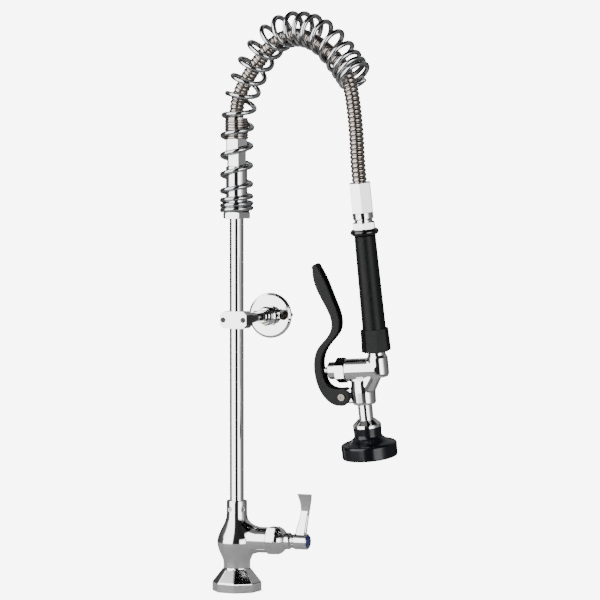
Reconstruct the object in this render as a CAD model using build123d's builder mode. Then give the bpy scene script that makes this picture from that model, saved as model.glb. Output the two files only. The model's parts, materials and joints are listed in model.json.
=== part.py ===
from build123d import *
import math
import os

# Pre-rinse faucet.  Millimetres, +Z up.  The origin is the centre of the foot's underside, on the riser's
# axis.  +X is the direction of the shut-off valve's stem, +Y points at the wall.

# ---------------------------------------------------------------- driving dimensions
# foot and body
foot_corner_r = 30.0  # octagonal foot, centre to corner
foot_turn = 14.5  # bearing of one of its corners
foot_h = 11.0
skirt_top_z = 27.0  # where the faceted skirt meets the round waist
waist_r = 16.2
skirt_top_r = waist_r / math.cos(math.radians(22.5))
bulge_r = 23.7
bulge_z = 60.0
neck_r = 12.4
neck_top_z = 109.5
inlet_r = 9.5  # female half-inch inlet thread
inlet_depth = 20.0
waterway_r = 6.0
socket_bottom_z = 90.0  # the riser stands on this shoulder

# shut-off valve on the branch
stem_z = 62.8
branch_r = 15.5
branch_end_x = 42.0
branch_swell = [(9, 16.5, 26.5), (13.3, 16.2, 24.0), (16, 16.0, 21.2), (20, 15.8, 18.4), (26, 15.6, 16.3), (33, 15.4, 15.4)]
chamber_r = 10.0
bonnet_af = 31.6
bonnet_hex_end_x = 52.4
bonnet_end_x = 63.0
collar_r = 10.1
hub_r = 9.6
hub_start_x = 74.1
hub_end_x = 91.0
spindle_r = 4.05
running_gap = 0.05

# riser and hose union
riser_r = 8.55
riser_bore_r = 6.25
riser_top_z = 520.0
collar_z = 448.5
collar_af = 30.0
spring_seat_z = 456.0
spring_seat_h = 3.0
sleeve_r = 12.9
sleeve_top_z = 511.0
union_af = 21.0
union_top_z = 528.5
union_nut_af = 24.0
union_nut_top_z = 543.6
ferrule_r = 13.3
ferrule_top_z = 569.0
ferrule_pitch = 3.3

# gooseneck: its plane stands on the riser's axis, turned from +X towards -Y
gooseneck_angle = -25.0
hose_r = 8.8
hose_bore_r = 5.5
spring_r = 20.9  # outside radius of the overspring
spring_wall = 1.0  # a tube with the coil's outside and its weight of steel
# each point is (reach from the riser's axis, sideways offset, height)
hose_route = [
    (0, 0, 569),
    (0, 0, 586),
    (12, 0, 609),
    (36, 0, 634),
    (62, 0, 656),
    (92, 0, 666),
    (122, 0, 661),
    (152, 0, 646),
    (177, 0, 627),
    (190, 0, 603),
    (196.5, -0.5, 573),
    (200.6, -1, 543),
    (202.73, -1.44, 514),
    (202.7, 1.8, 492),
]
spring_route = [
    (0, 0, 459),
    (0.5, 0, 568),
    (14, 0, 609),
    (42, 0, 648),
    (83, 0, 673),
    (118, 0, 673),
    (150, 0, 660),
    (175, 0, 638),
    (196, 0, 614),
]

# spray valve: its own frame hangs from the hose's end, leaning a little
valve_lean_x = 3.5
valve_lean_y = 7.7
coupling_len = 34.4
coupling_af = 23.4
adapter_r = 12.0
adapter_end = 43.0
swivel_nut_top = 46.2
swivel_nut_end = 53.6
swivel_nut_af = 24.2
handle_tube_r = 8.95
ring_section_r = 3.6
ring_r = 12.85
grip_top = 61.0
grip_top_r = 12.4
grip_bottom_r = 13.8
grip_collar_top = 171.0
grip_bottom = 197.5
plunger_y = -218.5
body_barrel_r = 12.4
side_barrel_r = 13.2
outlet_x = -20.8
outlet_tube_r = 8.6
pivot_x = -46.1
pivot_y = -249.2
pin_r = 4.35
pin_tip_x = -67.0
bonnet2_af = 26.2
bumper_rim_r = 32.8
bumper_bottom = 322.6
lever_w = 15.0
lever_slot_w = 10.0
lug_w = 9.4

# wall bracket
bracket_z = 327.0
clamp_w = 34.0
clamp_h = 20.4
clamp_screw_x = 12.8
arm_r = 6.3
arm_end_y = 108.0
arm_collar_y = 80.0
hub_start_y = 95.0
flange_front_y = 112.0
flange_back_y = 116.0
flange_r = 28.0
wall_screw_x = 18.3
wall_screw_r = 2.25
wall_screw_len = 25.0

# ---------------------------------------------------------------- planes
arch_cos = math.cos(math.radians(gooseneck_angle))
arch_sin = math.sin(math.radians(gooseneck_angle))
lean_down = Vector(math.sin(math.radians(valve_lean_x)), math.sin(math.radians(valve_lean_y)), -1)
valve_up = (lean_down * -1).normalized()
valve_out = (Vector(1, 0, 0) - valve_up * valve_up.X).normalized()


def arch_point(reach, side, height):
    """A point of the gooseneck, given along its plane, across it and upwards."""
    return Vector(
        reach * arch_cos - side * arch_sin,
        reach * arch_sin + side * arch_cos,
        height,
    )


hose_end = arch_point(*hose_route[-1])
# turned sections are drawn with x as radius and y along the axis
upright = Plane.XZ
stem_axis = Axis((0, 0, stem_z), (1, 0, 0))
stem_section = Plane(origin=(0, 0, stem_z), x_dir=(0, 0, 1), z_dir=(0, 1, 0))
stem_face = Plane(origin=(0, 0, stem_z), x_dir=(0, 1, 0), z_dir=(1, 0, 0))
valve_side = Plane(origin=hose_end, x_dir=valve_out, z_dir=valve_out.cross(valve_up))


def valve_level(y, x=0.0):
    """A plane across the valve's axis, y along it and x out from it, facing up the axis."""
    return Plane(origin=valve_side.from_local_coords((x, y, 0)), x_dir=valve_out, z_dir=valve_up)


def valve_cross(x, y=plunger_y):
    """A plane across the plunger's axis, facing away from the lever."""
    return Plane(origin=valve_side.from_local_coords((x, y, 0)), x_dir=valve_side.z_dir, z_dir=valve_out)


# ---------------------------------------------------------------- helpers
os.makedirs("parts", exist_ok=True)


def save(builder, node):
    """Label a finished piece and write its STEP file."""
    builder.part.label = node
    export_step(builder.part, "parts/" + node + ".step")


def turned(plane, points, mode=Mode.ADD):
    """Revolve a closed outline of straight lines about the plane's own y axis."""
    with BuildSketch(plane) as section:
        with BuildLine():
            Polyline(*points, close=True)
        make_face()
    revolve(section.sketch, axis=Axis(plane.origin, plane.y_dir), mode=mode)


def tube(plane, length, outer, inner=0.0):
    """A round bar, or a tube, standing on a plane."""
    with BuildSketch(plane) as ring:
        Circle(outer)
        if inner:
            Circle(inner, mode=Mode.SUBTRACT)
    extrude(ring.sketch, amount=length)


def drill(plane, length, radius):
    """A round hole down from a plane, along its normal."""
    with BuildSketch(plane) as hole:
        Circle(radius)
    extrude(hole.sketch, amount=length, mode=Mode.SUBTRACT)


def hexagon(plane, length, across_flats, edge=1.2, rotation=0.0):
    """A hexagonal prism on a plane, its corners turned off by a 30 degree chamfer at both ends."""
    corner = across_flats / math.sqrt(3)
    drop = edge * math.tan(math.radians(30))
    with BuildSketch(plane) as flats:
        RegularPolygon(across_flats / 2, 6, major_radius=False, rotation=rotation)
    extrude(flats.sketch, amount=length)
    section = Plane(origin=plane.origin, x_dir=plane.x_dir, z_dir=plane.x_dir.cross(plane.z_dir))
    turned(
        section,
        [
            (0, 0),
            (corner - edge, 0),
            (corner, drop),
            (corner, length - drop),
            (corner - edge, length),
            (0, length),
        ],
        mode=Mode.INTERSECT,
    )


def route_tube(route, outer, inner):
    """A tube along straight runs joined by tangent arcs, each arc as large as its runs allow."""
    points = [arch_point(*p) for p in route]
    radii = []
    for before, corner, after in zip(points, points[1:], points[2:]):
        turn = math.radians((corner - before).get_angle(after - corner))
        run = min((corner - before).length, (after - corner).length)
        radii.append(0.45 * run / math.tan(turn / 2))
    with BuildLine() as path:
        FilletPolyline(*points, radius=radii)
    start = Plane(origin=points[0], z_dir=points[1] - points[0])
    with BuildSketch(start) as section:
        Circle(outer)
        Circle(inner, mode=Mode.SUBTRACT)
    sweep(section.sketch, path=path.wire())
    return radii, path.wire().length


# ---------------------------------------------------------------- foot, body and shut-off valve
with BuildPart() as faucet_body:
    with BuildSketch(Plane.XY):
        RegularPolygon(foot_corner_r, 8, rotation=foot_turn)
    extrude(amount=foot_h)
    with BuildSketch(Plane.XY.offset(foot_h)):
        RegularPolygon(foot_corner_r, 8, rotation=foot_turn)
    with BuildSketch(Plane.XY.offset(skirt_top_z)):
        RegularPolygon(skirt_top_r, 8, rotation=foot_turn)
    loft()
    with BuildSketch(upright):
        with BuildLine():
            Polyline((0, foot_h), (waist_r, foot_h), (waist_r, skirt_top_z + 6))
            Spline(
                (waist_r, skirt_top_z + 6),
                (19.0, 43.0),
                (bulge_r, bulge_z),
                (19.6, 73.0),
                (14.6, 83.5),
                (neck_r, 96.0),
                tangents=((0, 1), (0, 1)),
            )
            Polyline((neck_r, 96.0), (neck_r, neck_top_z), (0, neck_top_z), (0, foot_h))
        make_face()
    revolve(axis=Axis.Z)
    tube(stem_face, branch_end_x, branch_r)
    # the branch swells, more upwards and downwards than sideways, where it leaves the body
    for x, sideways, upwards in branch_swell:
        with BuildSketch(stem_face.offset(x)):
            Ellipse(sideways, upwards)
    loft()
    drill(Plane.XY, inlet_depth, inlet_r)
    drill(Plane.XY, stem_z, waterway_r)
    drill(Plane.XY.offset(stem_z), socket_bottom_z - stem_z, waterway_r)
    drill(Plane.XY.offset(socket_bottom_z), neck_top_z - socket_bottom_z, riser_r + 0.1)
    drill(stem_face.offset(-9), branch_end_x + 9, chamber_r)
    drill(stem_face.offset(26), branch_end_x - 26, 12.5)
    # seal groove in the socket
    turned(upright, [(8, 93), (10.3, 93), (10.3, 95.6), (8, 95.6)], mode=Mode.SUBTRACT)
    # tapped holes for the two set screws that hold the riser
    for angle in (-112.0, -32.0):
        across = Plane(origin=(0, 0, 99), z_dir=(math.cos(math.radians(angle)), math.sin(math.radians(angle)), 0))
        drill(across.offset(7), 8, 2.1)
save(faucet_body, "faucet_body")

with BuildPart() as valve_cartridge:
    tube(stem_face.offset(-8), 48, chamber_r - 0.05)
    drill(stem_face.offset(-6), 18, 7.05)
    drill(stem_face.offset(12), 28, spindle_r + running_gap)
    drill(Plane(origin=(2, 0, stem_z - 12)), 24, 4.0)
    # groove for the cartridge's seal
    turned(stem_section, [(8.1, 17), (11, 17), (11, 19.2), (8.1, 19.2)], mode=Mode.SUBTRACT)
save(valve_cartridge, "valve_cartridge")

with BuildPart() as cartridge_seal:
    with BuildSketch(stem_section):
        with Locations((9.05, 18.1)):
            Circle(0.92)
    revolve(axis=stem_axis)
save(cartridge_seal, "cartridge_seal")

with BuildPart() as valve_spindle:
    tube(stem_face.offset(-5.6), 17.2, 7.0)
    tube(stem_face.offset(11), 75.5, spindle_r)
    drill(Plane(origin=(2, -12, stem_z), z_dir=(0, 1, 0)), 24, 4.0)
    drill(stem_face.offset(75), 12, 1.6)
save(valve_spindle, "valve_spindle")

with BuildPart() as bonnet_nut:
    hexagon(stem_face.offset(branch_end_x), bonnet_hex_end_x - branch_end_x, bonnet_af, 1.4)
    with BuildSketch(stem_section):
        with BuildLine():
            Polyline((0, bonnet_hex_end_x), (16.9, bonnet_hex_end_x))
            Spline((16.9, bonnet_hex_end_x), (15.4, 57.0), (12.2, 60.8), (9.4, bonnet_end_x))
            Polyline((9.4, bonnet_end_x), (0, bonnet_end_x), (0, bonnet_hex_end_x))
        make_face()
    revolve(axis=stem_axis)
    tube(stem_face.offset(26.5), branch_end_x - 26, 12.4)
    drill(stem_face.offset(20), 20.2, chamber_r)
    drill(stem_face.offset(20), 50, spindle_r + 0.25)
save(bonnet_nut, "bonnet_nut")

with BuildPart() as packing_nut:
    turned(
        stem_section,
        [
            (spindle_r + 0.25, bonnet_end_x),
            (9.2, bonnet_end_x),
            (collar_r, bonnet_end_x + 0.9),
            (collar_r, 68.0),
            (9.4, 68.8),
            (6.6, 68.8),
            (6.6, 70.4),
            (8.0, 70.4),
            (8.4, 70.9),
            (8.4, 72.9),
            (7.9, 73.4),
            (spindle_r + 0.25, 73.4),
        ],
    )
save(packing_nut, "packing_nut")

with BuildPart() as faucet_handle:
    turned(
        stem_section,
        [
            (0, hub_start_x),
            (hub_r - 0.9, hub_start_x),
            (hub_r, hub_start_x + 0.9),
            (hub_r, hub_end_x - 0.7),
            (hub_r - 0.7, hub_end_x),
            (0, hub_end_x),
        ],
    )
    # blade: leans outwards and widens to a curled tip
    for z, x, y, w, t in (
        (stem_z, 82.6, 0, 10.8, 6.4),
        (88.0, 85.6, 0, 11.6, 5.4),
        (106.0, 88.2, -0.4, 12.6, 4.6),
        (114.0, 88.6, -2.6, 15.6, 4.4),
        (120.4, 88.6, -5.6, 18.4, 4.0),
    ):
        with BuildSketch(Plane(origin=(x, y, z))):
            RectangleRounded(w, t, t / 2 - 0.3)
    loft()
    drill(stem_face.offset(hub_start_x - 1), 14, spindle_r)
    drill(stem_face.offset(hub_start_x), 20, 2.1)
    drill(stem_face.offset(hub_end_x - 2.4), 5, 7.6)
save(faucet_handle, "faucet_handle")

with BuildPart() as handle_screw:
    tube(stem_face.offset(76), hub_end_x - 78.4, 1.55)
    tube(stem_face.offset(hub_end_x - 2.4), 1.4, 3.4)
save(handle_screw, "handle_screw")

with BuildPart() as index_cap:
    with BuildSketch(stem_section):
        with BuildLine():
            Polyline((0, hub_end_x - 0.9), (7.5, hub_end_x - 0.9), (7.5, hub_end_x), (8.2, hub_end_x))
            Spline((8.2, hub_end_x), (7.8, hub_end_x + 0.9), (4.6, hub_end_x + 1.9), (0, hub_end_x + 2.2))
            Line((0, hub_end_x + 2.2), (0, hub_end_x - 0.9))
        make_face()
    revolve(axis=stem_axis)
save(index_cap, "index_cap")

# ---------------------------------------------------------------- riser
with BuildPart() as riser_pipe:
    tube(Plane.XY.offset(socket_bottom_z + 0.1), riser_top_z - socket_bottom_z, riser_r, riser_bore_r)
save(riser_pipe, "riser_pipe")

with BuildPart() as riser_seal:
    with BuildSketch(upright):
        with Locations((9.4, 94.3)):
            Circle(0.83)
    revolve(axis=Axis.Z)
save(riser_seal, "riser_seal")

with BuildPart() as neck_screws:
    for angle, reach in ((-112.0, 12.9), (-32.0, 12.2)):
        across = Plane(origin=(0, 0, 99), z_dir=(math.cos(math.radians(angle)), math.sin(math.radians(angle)), 0))
        tube(across.offset(riser_r), reach - riser_r, 2.05)
        drill(across.offset(reach - 1.6), 2, 0.95)
save(neck_screws, "neck_screws")

with BuildPart() as spring_collar:
    hexagon(Plane.XY.offset(collar_z), spring_seat_z - collar_z, collar_af, 1.6)
    drill(Plane.XY.offset(collar_z), 20, riser_r)
save(spring_collar, "spring_collar")

with BuildPart() as spring_seat:
    tube(Plane.XY.offset(spring_seat_z), spring_seat_h, 15.4, sleeve_r + 0.1)
save(spring_seat, "spring_seat")

with BuildPart() as riser_sleeve:
    tube(Plane.XY.offset(spring_seat_z), sleeve_top_z - spring_seat_z, sleeve_r, riser_r + 0.15)
    chamfer(riser_sleeve.edges().group_by(Axis.Z)[-1].sort_by(SortBy.LENGTH)[-1], 0.8)
save(riser_sleeve, "riser_sleeve")

with BuildPart() as hose_union:
    hexagon(Plane.XY.offset(sleeve_top_z), union_top_z - sleeve_top_z, union_af, 0.9)
    drill(Plane.XY.offset(sleeve_top_z), riser_top_z + 0.1 - sleeve_top_z, riser_r)
    tube(Plane.XY.offset(union_top_z), 6, 8.6)
    drill(Plane.XY.offset(sleeve_top_z), 30, riser_bore_r)
save(hose_union, "hose_union")

with BuildPart() as union_nut:
    hexagon(Plane.XY.offset(union_top_z), union_nut_top_z - union_top_z, union_nut_af, 1.2, rotation=-4)
    drill(Plane.XY.offset(union_top_z), 11, 8.6)
    drill(Plane.XY.offset(union_top_z), 20, 7.6)
save(union_nut, "union_nut")

with BuildPart() as union_washer:
    tube(Plane.XY.offset(union_top_z + 6), 2, 8.5, 5.6)
save(union_washer, "union_washer")

with BuildPart() as hose_ferrule:
    with BuildSketch(upright):
        with BuildLine():
            start = (ferrule_r, union_nut_top_z)
            Line((5.6, union_nut_top_z), start)
            ribs = int((ferrule_top_z - union_nut_top_z) / ferrule_pitch)
            z = union_nut_top_z
            for rib in range(ribs):
                top = (ferrule_r, z + ferrule_pitch)
                RadiusArc((ferrule_r, z), top, -ferrule_pitch * 0.62)
                z += ferrule_pitch
            Polyline((ferrule_r, z), (ferrule_r, ferrule_top_z), (5.6, ferrule_top_z), (5.6, union_nut_top_z))
        make_face()
    revolve(axis=Axis.Z)
    # tail that the union nut draws down on the washer
    tube(Plane.XY.offset(union_top_z + 8), 3, 8.5)
    tube(Plane.XY.offset(union_top_z + 8), union_nut_top_z - union_top_z - 8, 7.5)
    drill(Plane.XY.offset(union_top_z + 8), 60, hose_bore_r)
save(hose_ferrule, "hose_ferrule")

# ---------------------------------------------------------------- gooseneck
with BuildPart() as overspring:
    spring_radii, spring_length = route_tube(spring_route, spring_r, spring_r - spring_wall)
save(overspring, "overspring")

with BuildPart() as supply_hose:
    hose_radii, hose_length = route_tube(hose_route, hose_r, hose_bore_r)
save(supply_hose, "supply_hose")

for name, radii, length, outer, inner, built in (
    ("overspring", spring_radii, spring_length, spring_r, spring_r - spring_wall, overspring),
    ("supply_hose", hose_radii, hose_length, hose_r, hose_bore_r, supply_hose),
):
    print(name, "radii", [round(r, 1) for r in radii], "length", round(length, 1))
    print(name, "volume / (section x length)", built.part.volume / (math.pi * (outer**2 - inner**2) * length))

# ---------------------------------------------------------------- hose end and swivel
with BuildPart() as end_coupling:
    hexagon(valve_level(-coupling_len), coupling_len - 0.1, coupling_af, 0.9, rotation=-14)
    drill(valve_level(-coupling_len), 60, hose_bore_r)
    drill(valve_level(-coupling_len), 12, 7.5)
save(end_coupling, "end_coupling")

with BuildPart() as swivel_adapter:
    turned(
        valve_side,
        [
            (5, -coupling_len + 11),
            (7.5, -coupling_len + 11),
            (7.5, -coupling_len),
            (adapter_r - 0.7, -coupling_len),
            (adapter_r, -coupling_len - 0.7),
            (adapter_r, -adapter_end + 1.6),
            (adapter_r - 1.4, -adapter_end),
            (10.4, -adapter_end),
            (10.4, -swivel_nut_top + 0.2),
            (8.9, -swivel_nut_top + 0.2),
            (8.9, -49.0),
            (5, -49.0),
        ],
    )
save(swivel_adapter, "swivel_adapter")

with BuildPart() as hose_washer:
    tube(valve_level(-51.0), 1.8, 8.8, 5.0)
save(hose_washer, "hose_washer")

with BuildPart() as swivel_nut:
    hexagon(valve_level(-swivel_nut_end), swivel_nut_end - swivel_nut_top, swivel_nut_af, 1.2, rotation=-16)
    drill(valve_level(-swivel_nut_end - 1), 20, 8.95)
save(swivel_nut, "swivel_nut")

with BuildPart() as grip_ring:
    with BuildSketch(valve_side):
        with Locations((ring_r, -57.3)):
            Circle(ring_section_r)
    revolve(axis=Axis(hose_end, valve_up))
save(grip_ring, "grip_ring")

with BuildPart() as handle_tube:
    tube(valve_level(-206), 154.9, handle_tube_r, 6.5)
save(handle_tube, "handle_tube")

with BuildPart() as grip_sleeve:
    turned(
        valve_side,
        [
            (0, -grip_top),
            (grip_top_r - 0.8, -grip_top),
            (grip_top_r, -grip_top - 0.8),
            (grip_bottom_r, -grip_collar_top - 4),
            (0, -grip_collar_top - 4),
        ],
    )
    with BuildSketch(valve_level(-grip_collar_top)):
        RegularPolygon(16.2, 8, rotation=22.5)
    with BuildSketch(valve_level(-grip_bottom)):
        RegularPolygon(17.2, 8, rotation=22.5)
    loft()
    drill(valve_level(-grip_bottom - 1), 200, 9.0)
    chamfer(grip_sleeve.faces().sort_by(Axis(hose_end, valve_up))[0].outer_wire().edges(), 0.6)
save(grip_sleeve, "grip_sleeve")

# ---------------------------------------------------------------- spray valve
with BuildPart() as spray_body:
    # barrel under the handle
    turned(
        valve_side,
        [
            (0, -grip_bottom),
            (10.3, -grip_bottom),
            (10.3, -201.5),
            (body_barrel_r, -205),
            (body_barrel_r, -224),
            (11.0, -228),
            (0, -228),
        ],
    )
    # sloping belly from the barrel to the outlet
    with BuildSketch(valve_level(-215, -1)):
        Circle(11.2)
    with BuildSketch(valve_level(-246, outlet_x)):
        Circle(13.4)
    loft()
    # plunger barrel
    tube(valve_cross(-39), 39, side_barrel_r)
    # outlet barrel
    turned(
        Plane(origin=valve_level(0, outlet_x).origin, x_dir=valve_out, z_dir=valve_side.z_dir),
        [(0, -222), (13.2, -230), (14.2, -243), (13.6, -258), (12.4, -259.6), (0, -259.6)],
    )
    # lug for the lever
    with BuildSketch(valve_side.offset(-lug_w / 2)):
        with BuildLine():
            Polyline((-30, -234), (-38, -241), (-46.1, -243.4))
            RadiusArc((-46.1, -243.4), (-46.1, -255.0), -5.8)
            Polyline((-46.1, -255.0), (-38, -258), (-30, -257), (-30, -234))
        make_face()
    extrude(amount=lug_w)
    drill(valve_level(-grip_bottom).offset(1), -30, 6.0)
    drill(valve_level(-206), 20, handle_tube_r)
    drill(valve_cross(-40), 26, 9.0)
    drill(valve_cross(-15), 5, 5.6)
    drill(valve_cross(-11), 19, 9.0)
    drill(valve_level(-262, outlet_x - 2), 40, 4.6)
    drill(valve_level(-262, outlet_x), 12.4, outlet_tube_r)
    drill(Plane(origin=valve_side.from_local_coords((pivot_x, pivot_y, -9)), z_dir=valve_side.z_dir), 18, 2.5)
save(spray_body, "spray_body")

with BuildPart() as valve_bonnet:
    hexagon(valve_cross(-50), 11, bonnet2_af, 1.3, rotation=30)
    tube(valve_cross(-39.5), 9.5, 8.95)
    drill(valve_cross(-51), 30, pin_r + running_gap)
save(valve_bonnet, "valve_bonnet")

with BuildPart() as plunger_guide:
    turned(
        Plane(origin=valve_cross(0).origin, x_dir=valve_up, z_dir=valve_side.z_dir * -1),
        [
            (pin_r + running_gap, -60.4),
            (9.0, -60.4),
            (10.2, -59.3),
            (10.2, -50),
            (6.7, -50),
            (6.7, -52.6),
            (pin_r + running_gap, -52.6),
        ],
    )
save(plunger_guide, "plunger_guide")

with BuildPart() as plunger_seal:
    tube(valve_cross(-52.5), 2.4, 6.6, pin_r + 0.06)
save(plunger_seal, "plunger_seal")

with BuildPart() as plunger:
    tube(valve_cross(pin_tip_x + 2.0), -30 - (pin_tip_x + 2.0), pin_r)
    tube(valve_cross(-31), 20.2, 2.8)
    # rounded tip
    turned(
        Plane(origin=valve_cross(0).origin, x_dir=valve_up, z_dir=valve_side.z_dir * -1),
        [
            (0, pin_tip_x),
            (2.0, pin_tip_x + 0.25),
            (3.5, pin_tip_x + 1.0),
            (pin_r, pin_tip_x + 2.2),
            (pin_r, pin_tip_x + 3),
            (0, pin_tip_x + 3),
        ],
    )
save(plunger, "plunger")

with BuildPart() as valve_poppet:
    tube(valve_cross(-10.8), 3.8, 7.6)
    tube(valve_cross(-7.0), 2.5, 4.0)
save(valve_poppet, "valve_poppet")

with BuildPart() as return_spring:
    with BuildLine() as coil:
        Helix(pitch=2.9, height=11.6, radius=5.9, center=valve_cross(-5.0).origin, direction=valve_out)
    with BuildSketch(Plane(origin=coil.line @ 0, z_dir=coil.line % 0)):
        Circle(0.5)
    sweep()
save(return_spring, "return_spring")

with BuildPart() as squeeze_lever:
    with BuildSketch(valve_side.offset(-lever_w / 2)) as lever_outline:
        with BuildLine():
            ThreePointArc((-59.6, -94.8), (-63.0, -91.6), (-66.4, -97.4))
            Spline(
                (-66.4, -97.4),
                (-65.0, -116.2),
                (-56.4, -138.3),
                (-50.0, -156.7),
                (-50.2, -166.0),
                (-57.8, -178.7),
                (-69.8, -190.8),
                (-75.3, -203.1),
                (-76.8, -217.0),
                (-74.2, -235.4),
                (-67.9, -248.4),
                (-58.9, -257.0),
                (-49.0, -259.7),
            )
            ThreePointArc((-49.0, -259.7), (-36.4, -250.4), (-43.0, -239.4))
            Spline(
                (-43.0, -239.4),
                (-54.0, -239.4),
                (-61.6, -235.2),
                (-65.6, -226.6),
                (-66.8, -205.9),
                (-62.2, -194.7),
                (-51.3, -182.6),
                (-41.8, -171.0),
                (-39.6, -161.0),
                (-45.6, -133.0),
                (-52.0, -112.2),
                (-59.6, -94.8),
            )
        make_face()
    extrude(amount=lever_w)
    # channel on the inner side, leaving a web along the outer edge
    with BuildSketch(valve_side.offset(-lever_slot_w / 2)):
        add(lever_outline.sketch_local)
        add(lever_outline.sketch_local.moved(Location((4.6, 0.8, 0))), mode=Mode.INTERSECT)
    extrude(amount=lever_slot_w, mode=Mode.SUBTRACT)
    # boss that bears on the plunger
    tube(valve_cross(-75), 75 + pin_tip_x - 0.25, 4.9)
    # fork around the lug
    with BuildSketch(valve_side.offset(-lever_slot_w / 2)):
        with Locations((-45.6, -250)):
            Rectangle(22, 24)
    extrude(amount=lever_slot_w, mode=Mode.SUBTRACT)
    drill(Plane(origin=valve_side.from_local_coords((pivot_x, pivot_y, -9)), z_dir=valve_side.z_dir), 18, 2.56)
save(squeeze_lever, "squeeze_lever")

with BuildPart() as pivot_screw:
    pivot_plane = Plane(origin=valve_side.from_local_coords((pivot_x, pivot_y, 0)), z_dir=valve_side.z_dir)
    tube(pivot_plane.offset(-8.0), 15.2, 2.5)
    tube(pivot_plane.offset(lever_w / 2 + 0.15), 1.7, 4.1)
    drill(pivot_plane.offset(lever_w / 2 + 0.9), 2, 1.3)
save(pivot_screw, "pivot_screw")

# ---------------------------------------------------------------- spray head
outlet_section = Plane(origin=valve_level(0, outlet_x).origin, x_dir=valve_out, z_dir=valve_side.z_dir)

with BuildPart() as outlet_tube:
    tube(valve_level(-280, outlet_x), 30.3, outlet_tube_r - 0.05, 6.0)
save(outlet_tube, "outlet_tube")

with BuildPart() as spray_cone:
    turned(
        outlet_section,
        [
            (outlet_tube_r, -277.6),
            (10.6, -277.6),
            (16.3, -283.0),
            (16.6, -284.0),
            (16.6, -286.4),
            (14.2, -286.4),
            (14.2, -300),
            (20.0, -306),
            (20.0, -312.5),
            (18.4, -312.5),
            (18.4, -308),
            (6.0, -292),
            (6.0, -280.1),
            (outlet_tube_r, -280.1),
        ],
    )
save(spray_cone, "spray_cone")

with BuildPart() as spray_plate:
    tube(valve_level(-310.4, outlet_x), 2.0, 18.3)
    with BuildSketch(valve_level(-312, outlet_x)):
        for ring, count in ((15.0, 18), (10.0, 12), (5.0, 6)):
            with PolarLocations(ring, count):
                Circle(0.8)
        Circle(0.8)
    extrude(amount=5, mode=Mode.SUBTRACT)
save(spray_plate, "spray_plate")

with BuildPart() as bumper:
    with BuildSketch(outlet_section):
        with BuildLine():
            Polyline((14.3, -286.5), (16.4, -286.5), (16.6, -287.2), (16.1, -295.0))
            Spline((16.1, -295.0), (19.4, -300.4), (26.0, -304.0), (30.6, -305.4), tangents=((0, -1), (1, -0.4)))
            RadiusArc((30.6, -305.4), (bumper_rim_r, -308.6), 3.2)
            Line((bumper_rim_r, -308.6), (bumper_rim_r - 0.3, -bumper_bottom + 1.8))
            RadiusArc((bumper_rim_r - 0.3, -bumper_bottom + 1.8), (bumper_rim_r - 2.0, -bumper_bottom), 1.9)
            Polyline(
                (bumper_rim_r - 2.0, -bumper_bottom),
                (27.4, -bumper_bottom),
                (24.0, -312.8),
                (20.1, -312.8),
                (20.1, -305.96),
                (14.3, -299.96),
                (14.3, -286.5),
            )
        make_face()
    revolve(axis=Axis(outlet_section.origin, valve_up))
save(bumper, "bumper")

# ---------------------------------------------------------------- wall bracket
wall_plane = Plane(origin=(0, 0, bracket_z), x_dir=(1, 0, 0), z_dir=(0, 1, 0))
arm_turn = Plane(origin=(0, 0, bracket_z), x_dir=(1, 0, 0), z_dir=(0, 0, 1))

with BuildPart() as clamp_front:
    with BuildSketch(wall_plane.offset(-12.6)):
        Rectangle(clamp_w, clamp_h)
        chamfer(vertices(), 4.2)
    extrude(amount=12.2)
    drill(Plane.XY.offset(bracket_z - 15), 30, riser_r + 0.02)
    for side in (-1, 1):
        drill(Plane(origin=(side * clamp_screw_x, -20, bracket_z), z_dir=(0, 1, 0)), 20, 2.1)
        drill(Plane(origin=(side * clamp_screw_x, -20, bracket_z), z_dir=(0, 1, 0)), 9.6, 3.3)
save(clamp_front, "clamp_front")

with BuildPart() as clamp_rear:
    with BuildSketch(wall_plane.offset(0.4)):
        Rectangle(clamp_w, clamp_h)
        chamfer(vertices(), 4.2)
    extrude(amount=9.6)
    with BuildSketch(wall_plane.offset(0.4)):
        Circle(10.2)
    extrude(amount=11.6)
    # hub that tapers down to the arm
    turned(arm_turn, [(0, 8), (10.2, 8), (10.2, 12), (9.6, 17), (8.3, 24), (7.0, 31), (0, 31)])
    drill(Plane.XY.offset(bracket_z - 15), 30, riser_r + 0.02)
    drill(wall_plane.offset(14), 20, arm_r)
    for side in (-1, 1):
        drill(Plane(origin=(side * clamp_screw_x, -1, bracket_z), z_dir=(0, 1, 0)), 20, 1.95)
save(clamp_rear, "clamp_rear")

with BuildPart() as clamp_screws:
    for side in (-1, 1):
        across = Plane(origin=(side * clamp_screw_x, 0, bracket_z), x_dir=(1, 0, 0), z_dir=(0, 1, 0))
        tube(across.offset(-10.4), 19.8, 1.9)
        tube(across.offset(-13.0), 2.6, 3.2)
        with BuildSketch(across.offset(-13.0)):
            Rectangle(7, 0.9, rotation=35 * side)
        extrude(amount=1.0, mode=Mode.SUBTRACT)
save(clamp_screws, "clamp_screws")

with BuildPart() as bracket_arm:
    tube(wall_plane.offset(14.0), arm_end_y - 14, arm_r, 4.6)
save(bracket_arm, "bracket_arm")

with BuildPart() as arm_collar:
    turned(
        arm_turn,
        [
            (arm_r + running_gap, arm_collar_y),
            (7.2, arm_collar_y),
            (7.9, arm_collar_y + 0.7),
            (7.9, 92.0),
            (9.4, 92.6),
            (9.4, 94.9),
            (arm_r + running_gap, 94.9),
        ],
    )
save(arm_collar, "arm_collar")

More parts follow.
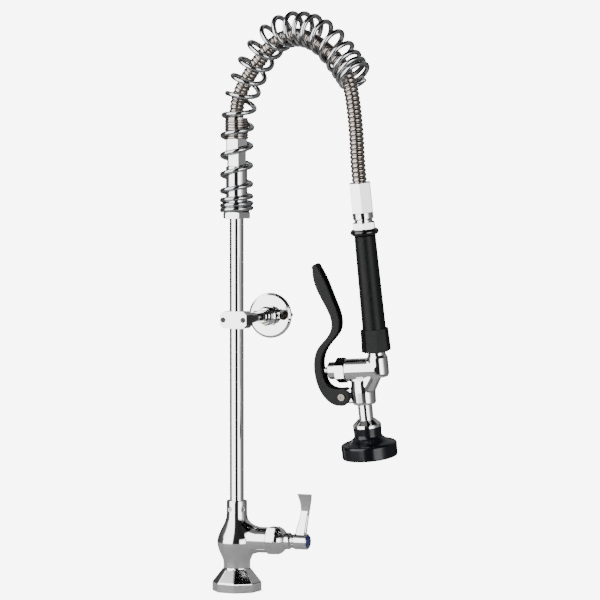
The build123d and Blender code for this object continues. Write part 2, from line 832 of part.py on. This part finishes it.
with BuildPart() as flange_hub:
    turned(
        arm_turn,
        [
            (arm_r + running_gap, hub_start_y),
            (9.6, hub_start_y),
            (10.1, hub_start_y + 0.5),
            (10.1, 99.6),
            (11.6, 101.0),
            (12.1, 103.4),
            (12.1, 106.6),
            (11.2, 109.0),
            (9.6, 110.2),
            (9.6, flange_front_y),
            (arm_r + running_gap, flange_front_y),
        ],
    )
    drill(Plane(origin=(0, 97.4, bracket_z - 14), z_dir=(0, 0, 1)), 14, 1.95)
save(flange_hub, "flange_hub")

with BuildPart() as flange_set_screw:
    tube(Plane(origin=(0, 97.4, bracket_z - 12.6), z_dir=(0, 0, 1)), 6.1, 1.9)
    with BuildSketch(Plane(origin=(0, 97.4, bracket_z - 12.6), z_dir=(0, 0, 1))):
        Rectangle(5, 0.6)
    extrude(amount=1.0, mode=Mode.SUBTRACT)
save(flange_set_screw, "flange_set_screw")

with BuildPart() as wall_flange:
    turned(
        arm_turn,
        [
            (0, flange_front_y),
            (flange_r - 3.0, flange_front_y),
            (flange_r - 0.6, flange_front_y + 1.4),
            (flange_r, flange_front_y + 2.4),
            (flange_r, flange_back_y),
            (0, flange_back_y),
        ],
    )
    for side in (-1, 1):
        drill(Plane(origin=(side * wall_screw_x, 100, bracket_z), z_dir=(0, 1, 0)), 30, wall_screw_r + 0.25)
save(wall_flange, "wall_flange")

with BuildPart() as wall_screws:
    for side in (-1, 1):
        across = Plane(origin=(side * wall_screw_x, 0, bracket_z), x_dir=(1, 0, 0), z_dir=(0, 1, 0))
        tube(across.offset(flange_front_y - 1), flange_back_y - flange_front_y + 1, wall_screw_r - 0.45)
        tube(across.offset(flange_back_y), wall_screw_len, wall_screw_r)
        section = Plane(origin=(side * wall_screw_x, 0, bracket_z), x_dir=(1, 0, 0), z_dir=(0, 0, 1))
        turned(
            section,
            [
                (0, flange_front_y - 3.2),
                (2.6, flange_front_y - 3.0),
                (4.8, flange_front_y - 1.7),
                (5.6, flange_front_y),
                (0, flange_front_y),
            ],
        )
        with BuildSketch(across.offset(flange_front_y - 3.4)):
            Rectangle(4.6, 0.9, rotation=20)
            Rectangle(0.9, 4.6, rotation=20)
        extrude(amount=1.6, mode=Mode.SUBTRACT)
save(wall_screws, "wall_screws")
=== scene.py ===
import json
import math

import bpy
import numpy as np
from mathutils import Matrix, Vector

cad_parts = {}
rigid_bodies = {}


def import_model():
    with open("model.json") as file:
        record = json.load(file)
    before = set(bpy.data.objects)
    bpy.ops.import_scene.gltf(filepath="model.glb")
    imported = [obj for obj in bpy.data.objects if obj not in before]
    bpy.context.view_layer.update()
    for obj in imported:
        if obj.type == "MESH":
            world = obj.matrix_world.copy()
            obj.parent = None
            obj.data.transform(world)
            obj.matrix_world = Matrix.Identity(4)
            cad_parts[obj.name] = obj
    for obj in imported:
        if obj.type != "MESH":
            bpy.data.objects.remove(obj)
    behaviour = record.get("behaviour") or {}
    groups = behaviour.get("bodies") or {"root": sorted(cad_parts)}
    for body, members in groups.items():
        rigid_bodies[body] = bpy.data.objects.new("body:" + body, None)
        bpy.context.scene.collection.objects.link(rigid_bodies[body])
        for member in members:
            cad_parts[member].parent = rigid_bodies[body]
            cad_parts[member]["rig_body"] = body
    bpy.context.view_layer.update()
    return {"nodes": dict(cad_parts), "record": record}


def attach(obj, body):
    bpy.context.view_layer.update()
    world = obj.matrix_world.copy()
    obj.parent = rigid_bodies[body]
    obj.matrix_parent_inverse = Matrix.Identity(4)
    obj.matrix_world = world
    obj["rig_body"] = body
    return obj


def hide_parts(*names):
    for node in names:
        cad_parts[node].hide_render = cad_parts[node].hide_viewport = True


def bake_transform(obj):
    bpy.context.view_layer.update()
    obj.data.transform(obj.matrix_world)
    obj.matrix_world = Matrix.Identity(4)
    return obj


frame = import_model()
NODES = frame["nodes"]


# ---------------------------------------------------------------- materials
COAT_ROUGHNESS = 0.08
GRAIN_SCALE = 2600  # the fine noise that the relief is made of
GRAIN_DEPTH = 0.0003


def material(name, color, metallic, roughness, spread, scale, bump=0.0, coat=0.0, tint=0.0, specular=0.5):
    """A Principled finish whose roughness, and a little of its colour and relief, vary with a fine noise.

    spread is how far the roughness strays, scale the noise's, and tint how far the colour strays.
    """
    mat = bpy.data.materials.new(name)
    mat.use_nodes = True
    tree = mat.node_tree
    shader = tree.nodes["Principled BSDF"]
    shader.inputs["Metallic"].default_value = metallic
    shader.inputs["Base Color"].default_value = (*color, 1)
    shader.inputs["Specular IOR Level"].default_value = specular
    if coat:
        shader.inputs["Coat Weight"].default_value = coat
        shader.inputs["Coat Roughness"].default_value = COAT_ROUGHNESS
    coords = tree.nodes.new("ShaderNodeTexCoord")
    noise = tree.nodes.new("ShaderNodeTexNoise")
    noise.inputs["Scale"].default_value = scale
    noise.inputs["Detail"].default_value = 4
    tree.links.new(coords.outputs["Object"], noise.inputs["Vector"])
    levels = tree.nodes.new("ShaderNodeMapRange")
    levels.inputs["To Min"].default_value = max(roughness - spread, 0.01)
    levels.inputs["To Max"].default_value = roughness + spread
    tree.links.new(noise.outputs["Fac"], levels.inputs["Value"])
    tree.links.new(levels.outputs["Result"], shader.inputs["Roughness"])
    if tint:
        ramp = tree.nodes.new("ShaderNodeValToRGB")
        ramp.color_ramp.elements[0].color = (*[c * (1 - tint) for c in color], 1)
        ramp.color_ramp.elements[1].color = (*[min(c * (1 + tint), 1) for c in color], 1)
        tree.links.new(noise.outputs["Fac"], ramp.inputs["Fac"])
        tree.links.new(ramp.outputs["Color"], shader.inputs["Base Color"])
    if bump:
        fine = tree.nodes.new("ShaderNodeTexNoise")
        fine.inputs["Scale"].default_value = GRAIN_SCALE
        tree.links.new(coords.outputs["Object"], fine.inputs["Vector"])
        relief = tree.nodes.new("ShaderNodeBump")
        relief.inputs["Strength"].default_value = bump
        relief.inputs["Distance"].default_value = GRAIN_DEPTH
        tree.links.new(fine.outputs["Fac"], relief.inputs["Height"])
        tree.links.new(relief.outputs["Normal"], shader.inputs["Normal"])
    return mat


FINISH = {
    "chrome": material("chrome_plate", (0.83, 0.83, 0.84), 1.0, 0.06, 0.02, 25),
    "spring_steel": material("spring_wire", (0.50, 0.51, 0.52), 1.0, 0.07, 0.02, 40),
    "hose_skin": material("hose_steel", (0.36, 0.32, 0.295), 1.0, 0.20, 0.05, 90, tint=0.06),
    "steel": material("machined_steel", (0.62, 0.61, 0.60), 1.0, 0.22, 0.05, 200, tint=0.05),
    "dark_screw": material("dark_screw_steel", (0.035, 0.031, 0.028), 1.0, 0.30, 0.06, 200, tint=0.1),
    "brass": material("plain_brass", (0.72, 0.52, 0.25), 1.0, 0.24, 0.05, 150, tint=0.06),
    "seal": material("seal_rubber", (0.02, 0.02, 0.02), 0.0, 0.55, 0.08, 300, bump=0.1),
    "black_rubber": material(
        "moulded_rubber", (0.005, 0.006, 0.010), 0.0, 0.17, 0.04, 120, bump=0.03, specular=0.35
    ),
    "gloss_rubber": material("gloss_rubber_skin", (0.004, 0.004, 0.005), 0.0, 0.14, 0.04, 120, coat=0.3),
    "grip": material("grip_moulding", (0.006, 0.0065, 0.007), 0.0, 0.40, 0.06, 160, bump=0.2, specular=0.18),
    "lever": material(
        "lever_moulding", (0.0055, 0.006, 0.0065), 0.0, 0.38, 0.06, 160, bump=0.2, specular=0.2
    ),
    "blue_cap": material("blue_cap_gloss", (0.012, 0.025, 0.12), 0.0, 0.18, 0.04, 90, coat=0.4),
}
SLOTS = {s["node"]: s["material_slot"] for s in frame["record"]["subparts"]}


def dress(obj, slot):
    """Gives a piece the finish kept for the given slot."""
    obj.data.materials.clear()
    obj.data.materials.append(FINISH[slot])
    return obj


for node, obj in NODES.items():
    dress(obj, SLOTS[node])
# the pressed ferrule is duller and warmer than the plated fittings, and the pivot screw is darker
NODES["pivot_screw"].data.materials[0] = material(
    "pivot_steel", (0.20, 0.18, 0.15), 1.0, 0.26, 0.05, 200, tint=0.08
)
NODES["hose_ferrule"].data.materials[0] = material(
    "pressed_ferrule", (0.46, 0.42, 0.40), 1.0, 0.14, 0.04, 60, tint=0.05
)


# ---------------------------------------------------------------- the gooseneck's plane and curves
ANGLE = math.radians(-25)  # the bearing that the gooseneck reaches out along
OUT = np.array([math.cos(ANGLE), math.sin(ANGLE), 0.0])
SIDE = np.array([-math.sin(ANGLE), math.cos(ANGLE), 0.0])
UP = np.array([0.0, 0.0, 1.0])


def arch(points):
    """Points given as reach, sideways offset and height in millimetres, in the row frame in metres."""
    return [(OUT * p[0] + SIDE * p[1] + UP * p[2]) / 1000 for p in points]


def centreline(name, points):
    """The line of a NURBS curve with these control points, as rows of points."""
    curve = bpy.data.curves.new(name, "CURVE")
    curve.dimensions = "3D"
    spline = curve.splines.new("NURBS")
    spline.points.add(len(points) - 1)
    for point, p in zip(spline.points, points):
        point.co = (*p, 1)
    spline.order_u = 3
    spline.use_endpoint_u = True
    spline.resolution_u = 64
    holder = bpy.data.objects.new(name, curve)
    bpy.context.scene.collection.objects.link(holder)
    bpy.context.view_layer.update()
    evaluated = holder.evaluated_get(bpy.context.evaluated_depsgraph_get())
    mesh = bpy.data.meshes.new_from_object(evaluated)
    line = np.array([v.co for v in mesh.vertices], float)
    bpy.data.objects.remove(holder)
    return line


def resample(line, step):
    """A line's points, evenly spaced, and the distance along it of each."""
    gaps = np.linalg.norm(np.diff(line, axis=0), axis=1)
    keep = np.concatenate([[True], gaps > 1e-9])
    line = line[keep]
    along = np.concatenate([[0], np.cumsum(np.linalg.norm(np.diff(line, axis=0), axis=1))])
    count = int(along[-1] / step) + 1
    s = np.linspace(0, along[-1], count)
    return s, np.stack([np.interp(s, along, line[:, i]) for i in range(3)], axis=1)


def frames(line, side):
    """Unit vectors along a line, outwards from its bend and across it."""
    along = np.gradient(line, axis=0)
    along /= np.linalg.norm(along, axis=1)[:, None]
    normal = np.cross(side, along)
    normal /= np.linalg.norm(normal, axis=1)[:, None]
    return along, normal, np.cross(along, normal)


def rings_mesh(name, centres, normals, binormals, radii, sides):
    """A closed tube skin from rings of points."""
    turn = np.linspace(0, 2 * math.pi, sides, endpoint=False)[None, :, None]
    spokes = np.cos(turn) * normals[:, None, :] + np.sin(turn) * binormals[:, None, :]
    ring = centres[:, None, :] + radii[:, None, None] * spokes
    rows = len(centres)
    faces = []
    for i in range(rows - 1):
        for j in range(sides):
            k = (j + 1) % sides
            faces.append((i * sides + j, i * sides + k, (i + 1) * sides + k, (i + 1) * sides + j))
    faces.append(tuple(reversed(range(sides))))
    faces.append(tuple((rows - 1) * sides + j for j in range(sides)))
    mesh = bpy.data.meshes.new(name)
    mesh.from_pydata([tuple(p) for p in ring.reshape(-1, 3)], [], faces)
    mesh.polygons.foreach_set("use_smooth", [True] * len(faces))
    mesh.update()
    obj = bpy.data.objects.new(name, mesh)
    bpy.context.scene.collection.objects.link(obj)
    return obj


# control points of the hose's and the overspring's centre lines, for arch()
HOSE_ROUTE = [
    (0, 0, 569),
    (0, 0, 586),
    (12, 0, 609),
    (36, 0, 634),
    (62, 0, 656),
    (92, 0, 666),
    (122, 0, 661),
    (152, 0, 646),
    (177, 0, 627),
    (190, 0, 603),
    (196.5, -0.5, 573),
    (200.6, -1, 543),
    (202.73, -1.44, 514),
    (202.7, 1.8, 492),
]
SPRING_ROUTE = [
    (0, 0, 456),
    (0, 0, 490),
    (0, 0, 525),
    (1.1, 0, 562),
    (8.7, 0, 597),
    (28, 0, 629),
    (53, 0, 657),
    (83.6, 0, 672),
    (117.8, 0, 671.7),
    (150, 0, 659),
    (175.4, 0, 637),
    (198.6, 0, 612),
]
# the coils: how far along the route, in millimetres, and how many turns have been made there
COILS = [
    (2.6, 0.0), (8.0, 1.0), (14.5, 2.0), (25.6, 3.0), (45, 4.0), (67.8, 5.0), (91.4, 6.0), (114.5, 7.0),
    (139, 8.0), (159.5, 9.0), (181, 10.0), (203.5, 11.0), (227, 12.0), (246.5, 13.0), (263, 13.9),
    (278, 14.87), (291, 15.78), (306, 16.72), (324, 17.67), (343.5, 18.67), (360, 19.75), (371, 20.8),
    (379, 21.8), (383.5, 22.6),
]
HOSE_R = 0.0088
RIB_PITCH = 0.0052
RIB_DEPTH = 0.0016

# the supply hose: close corrugations along its line
s, line = resample(centreline("hose_line", arch(HOSE_ROUTE)), step=0.0005)
along, normal, across = frames(line, SIDE)
wave = np.abs(np.sin(math.pi * s / RIB_PITCH))
radii = HOSE_R - RIB_DEPTH * (1 - wave ** 0.7)
hose = rings_mesh("supply_hose_skin", line, normal, across, radii, sides=40)
dress(hose, "hose_skin")
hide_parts("supply_hose")
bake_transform(hose)

# the overspring: one wound wire
s, line = resample(centreline("spring_line", arch(SPRING_ROUTE)), step=0.0002)
along, normal, across = frames(line, SIDE)
stations = np.array(COILS, float)
places, turns = stations[:, 0] / 1000, stations[:, 1]
slope = np.gradient(turns, places)


def turn_at(x):
    """How many turns have been made x metres along: a cubic through the stations, for a smooth pitch."""
    i = np.clip(np.searchsorted(places, x) - 1, 0, len(places) - 2)
    h = places[i + 1] - places[i]
    t = (x - places[i]) / h
    a = (1 + 2 * t) * (1 - t) ** 2
    b = t * (1 - t) ** 2
    c = t * t * (3 - 2 * t)
    d = t * t * (t - 1)
    return a * turns[i] + b * h * slope[i] + c * turns[i + 1] + d * h * slope[i + 1]


WIRE_R = 0.0029
RINGS_A_TURN = 84
FIRST_BEARING = 225 / 360  # where the wire starts, in turns
# the coils' radius on the sleeve, what the arch adds to it, where along the route that begins and how far
# it takes
COIL_R = 0.0173
WIDENING = 0.0011
WIDENS_FROM = 0.09
WIDENS_OVER = 0.08
dense = np.linspace(places[0], min(places[-1], s[-1]), 6000)
phase = turn_at(dense)
steps = np.linspace(phase[0], phase[-1], int((phase[-1] - phase[0]) * RINGS_A_TURN))
x = np.interp(steps, phase, dense)
coil_r = COIL_R + WIDENING * np.clip((x - WIDENS_FROM) / WIDENS_OVER, 0, 1)
angle = 2 * math.pi * (steps + FIRST_BEARING)


def pick(rows):
    """The rows of a table kept along the line, read off at each ring of the wire."""
    return np.stack([np.interp(x, s, rows[:, i]) for i in range(3)], axis=1)


spoke = np.cos(angle)[:, None] * pick(normal) + np.sin(angle)[:, None] * pick(across)
wire = pick(line) + coil_r[:, None] * spoke
tangent = np.gradient(wire, axis=0)
tangent /= np.linalg.norm(tangent, axis=1)[:, None]
spoke -= np.sum(spoke * tangent, axis=1)[:, None] * tangent
spoke /= np.linalg.norm(spoke, axis=1)[:, None]
radii = np.full(len(x), WIRE_R)
spring = rings_mesh("overspring_coil", wire, spoke, np.cross(tangent, spoke), radii, sides=18)
dress(spring, "spring_steel")
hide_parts("overspring")
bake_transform(spring)


# ---------------------------------------------------------------- pieces redrawn from their CAD solids
def twin(node, name):
    """A free copy of a CAD node, linked to the scene, with none of the node's own marks."""
    obj = NODES[node].copy()
    obj.data = NODES[node].data.copy()
    obj.name = name
    obj.parent = None
    for key in list(obj.keys()):
        del obj[key]
    bpy.context.scene.collection.objects.link(obj)
    return obj


SKIN_GRID = 0.0005


def cast_skin(node, passes):
    """A casting with its inside corners filled and its edges softened, as casting and polishing leave it."""
    obj = twin(node, node + "_skin")
    weld = obj.modifiers.new("weld", "WELD")
    weld.merge_threshold = 0.00001
    grid = obj.modifiers.new("grid", "REMESH")
    grid.mode = "VOXEL"
    grid.voxel_size = SKIN_GRID
    grid.use_smooth_shade = True
    soften = obj.modifiers.new("soften", "SMOOTH")
    soften.factor = 0.5
    soften.iterations = passes
    bpy.context.view_layer.update()
    evaluated = obj.evaluated_get(bpy.context.evaluated_depsgraph_get())
    made = bpy.data.meshes.new_from_object(evaluated)
    obj.modifiers.clear()
    obj.data = made
    made.polygons.foreach_set("use_smooth", [True] * len(made.polygons))
    dress(obj, SLOTS[node])
    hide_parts(node)
    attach(obj, NODES[node]["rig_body"])


# the return spring, between its fixed end and the end that bears on the poppet, as a free copy of its CAD
# solid
coil = twin("return_spring", "return_spring_coil")
dress(coil, "spring_steel")
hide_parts("return_spring")
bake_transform(coil)

cast_skin("squeeze_lever", passes=8)
cast_skin("faucet_body", passes=16)
cast_skin("spray_body", passes=44)

# ---------------------------------------------------------------- stage
# what the chrome mirrors: (bearing in degrees from +X, brightness) along the horizon and above it, and
# (height of a unit vector, share or brightness) for the ceiling over it and the ground under it
GAIN = 5.0  # the brightest level, because a colour ramp holds no more than 1
HORIZON = [
    (-180, 0.10), (-160, 0.13), (-153, 5.0), (-97, 5.0), (-93, 0.03), (-55, 0.012), (-50, 5.0), (-24, 5.0),
    (-12, 1.2), (2, 0.26), (30, 0.20), (45, 0.14), (70, 0.04), (110, 0.05), (150, 0.08), (180, 0.10),
]
UPPER = [
    (-180, 0.12), (-168, 0.3), (-158, 5.0), (-98, 5.0), (-90, 0.03), (-20, 0.015), (0, 0.03), (40, 0.25),
    (90, 0.35), (150, 0.25), (180, 0.12),
]
CEILING = [(0.3, 1.0), (0.745, 1.0), (0.785, 0.05), (1.0, 0.03)]
GROUND = [(-1.0, 0.06), (-0.7, 0.12), (-0.45, 0.22), (-0.1, 0.40)]

BACKDROP = 7.5
FLOOR_GLOW = 6.6
FLOOR_REACH = 6
FLOOR_Z = -0.0002
TABLE_R = 0.5
TABLE_Z = -0.0004


def flat_piece(name, outline, finish):
    """One flat face of the stage."""
    mesh = bpy.data.meshes.new(name)
    mesh.from_pydata(outline, [], [tuple(range(len(outline)))])
    obj = bpy.data.objects.new(name, mesh)
    bpy.context.scene.collection.objects.link(obj)
    obj.data.materials.append(finish)
    obj.visible_diffuse = False
    return obj


pale = material("pale_floor", (0.9, 0.9, 0.9), 0.0, 0.7, 0.02, 3)
glow = pale.node_tree.nodes["Principled BSDF"]
glow.inputs["Emission Color"].default_value = (1, 1, 1, 1)
glow.inputs["Emission Strength"].default_value = FLOOR_GLOW
glow.inputs["Specular IOR Level"].default_value = 0.0
corners = [(-1, -1), (1, -1), (1, 1), (-1, 1)]
floor = flat_piece("floor", [(FLOOR_REACH * a, FLOOR_REACH * b, FLOOR_Z) for a, b in corners], pale)
floor.visible_glossy = False
# the table top that the chrome mirrors, and that the camera doesn't see
rim = [math.radians(a) for a in range(0, 360, 6)]
table = flat_piece(
    "table",
    [(TABLE_R * math.cos(a), TABLE_R * math.sin(a), TABLE_Z) for a in rim],
    material("table_top", (0.42, 0.42, 0.42), 0.0, 0.7, 0.02, 3),
)
table.visible_camera = False

world = bpy.data.worlds.new("studio")
bpy.context.scene.world = world
world.use_nodes = True
tree = world.node_tree
tree.nodes.clear()
output = tree.nodes.new("ShaderNodeOutputWorld")
coords = tree.nodes.new("ShaderNodeTexCoord")
split = tree.nodes.new("ShaderNodeSeparateXYZ")
tree.links.new(coords.outputs["Generated"], split.inputs["Vector"])


def math_node(operation, first, second):
    """One sum on the world's tree, between sockets or numbers."""
    node = tree.nodes.new("ShaderNodeMath")
    node.operation = operation
    for socket, value in zip(node.inputs, (first, second)):
        if isinstance(value, (int, float)):
            socket.default_value = value
        else:
            tree.links.new(value, socket)
    return node.outputs["Value"]


def band_ramp(value, low_end, high_end, stops):
    """A level along a range, given as (place, level) stops."""
    span = tree.nodes.new("ShaderNodeMapRange")
    span.inputs["From Min"].default_value = low_end
    span.inputs["From Max"].default_value = high_end
    tree.links.new(value, span.inputs["Value"])
    node = tree.nodes.new("ShaderNodeValToRGB")
    ramp = node.color_ramp
    while len(ramp.elements) < len(stops):
        ramp.elements.new(0.5)
    for element, (place, bright) in zip(ramp.elements, stops):
        element.position = (place - low_end) / (high_end - low_end)
        element.color = (bright, bright, bright, 1)
    tree.links.new(span.outputs["Result"], node.inputs["Fac"])
    return node.outputs["Color"]


def scaled(stops):
    """Brightness stops as shares of the brightest level."""
    return [(place, bright / GAIN) for place, bright in stops]


def blend_levels(amount, first, second):
    """first where amount is 0, second where it is 1."""
    node = tree.nodes.new("ShaderNodeMix")
    node.data_type = "RGBA"
    tree.links.new(amount, node.inputs["Factor"])
    tree.links.new(first, node.inputs["A"])
    tree.links.new(second, node.inputs["B"])
    return node.outputs["Result"]


bearing = math_node("MULTIPLY", math_node("ARCTAN2", split.outputs["Y"], split.outputs["X"]), 180 / math.pi)
height = split.outputs["Z"]
horizon = band_ramp(bearing, -180, 180, scaled(HORIZON))
upper = band_ramp(bearing, -180, 180, scaled(UPPER))
ceiling = band_ramp(height, 0.3, 1.0, CEILING)
ground = band_ramp(height, -1.0, -0.1, scaled(GROUND))
above = math_node("MULTIPLY", upper, ceiling)
# where the horizon gives way to what is above it and to the ground
rise = band_ramp(height, 0.2, 0.45, [(0.24, 0.0), (0.40, 1.0)])
fall = band_ramp(height, -0.5, 0.0, [(-0.42, 1.0), (-0.34, 0.0)])
level = blend_levels(fall, blend_levels(rise, horizon, above), ground)
mirror_level = math_node("MULTIPLY", level, GAIN)


def background(strength):
    """A white background shader."""
    node = tree.nodes.new("ShaderNodeBackground")
    node.inputs["Color"].default_value = (1, 1, 1, 1)
    if isinstance(strength, (int, float)):
        node.inputs["Strength"].default_value = strength
    else:
        tree.links.new(strength, node.inputs["Strength"])
    return node.outputs["Background"]


def either(ray, first, second):
    """The second shader for rays of one kind, and the first for the others."""
    node = tree.nodes.new("ShaderNodeMixShader")
    tree.links.new(rays.outputs[ray], node.inputs[0])
    tree.links.new(first, node.inputs[1])
    tree.links.new(second, node.inputs[2])
    return node.outputs["Shader"]


rays = tree.nodes.new("ShaderNodeLightPath")
lit = either("Is Glossy Ray", background(1.0), background(mirror_level))
shown = either("Is Camera Ray", lit, background(BACKDROP))
tree.links.new(shown, output.inputs["Surface"])


# ---------------------------------------------------------------- camera
CAMERA_BEARING = math.radians(20)
CAMERA_TILT = math.radians(2.443)
CAMERA_DISTANCE = 3.5
CAMERA_HEIGHT = 0.5
CAMERA_SHIFT = 0.076  # how far the camera stands to the right of the riser
right = Vector((math.cos(CAMERA_BEARING), math.sin(CAMERA_BEARING), 0))
away = Vector((-math.sin(CAMERA_BEARING), math.cos(CAMERA_BEARING), 0))
ahead = away * math.cos(CAMERA_TILT) - Vector((0, 0, 1)) * math.sin(CAMERA_TILT)
camera = bpy.data.objects.new("camera", bpy.data.cameras.new("camera"))
bpy.context.scene.collection.objects.link(camera)
camera.location = right * CAMERA_SHIFT - away * CAMERA_DISTANCE + Vector((0, 0, CAMERA_HEIGHT))
camera.rotation_mode = "QUATERNION"
camera.rotation_quaternion = ahead.to_track_quat("-Z", "Y")
camera.data.lens = 175
camera.data.sensor_width = 36
bpy.context.scene.camera = camera
